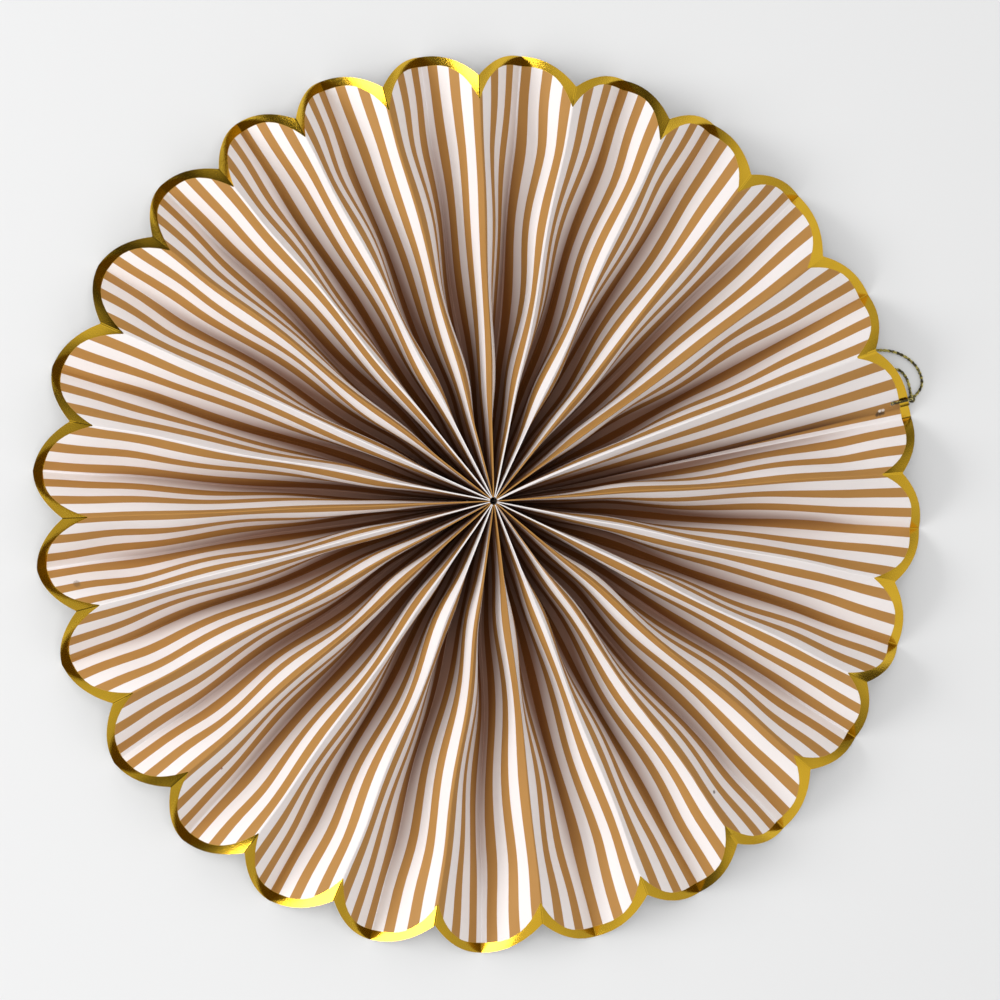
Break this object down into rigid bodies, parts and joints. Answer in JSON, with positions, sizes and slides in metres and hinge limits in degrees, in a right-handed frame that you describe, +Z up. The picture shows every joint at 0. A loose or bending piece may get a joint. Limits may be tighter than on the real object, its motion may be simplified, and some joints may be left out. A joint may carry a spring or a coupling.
{
  "type": "paper fan rosette",
  "caption": "Round paper fan rosette, folded in radial pleats, with mustard and white stripes, a scalloped gold foil edge and a thread loop to hang it by.",
  "frame": {"origin": "middle of the gathered hub, on the plane that the valley folds rest on, which is the middle of the underside", "axes": "+Z up out of the rosette's face, through the hub; +X roughly towards the taped seam and the hanging loop"},
  "size_m": [0.2608, 0.2596, 0.0197],
  "materials": {
    "striped_card": "printed thin card with a matte face and a gold foil edge",
    "thread": "thin twisted thread with a dull gold strand",
    "tape": "thin double-sided tape"
  },
  "bodies": {
    "root": {"pleated_paper": "striped_card", "seam_tape": "tape", "hub_tie": "thread", "thread_knot": "thread", "hanging_loop": "thread"}
  },
  "joints": []
}
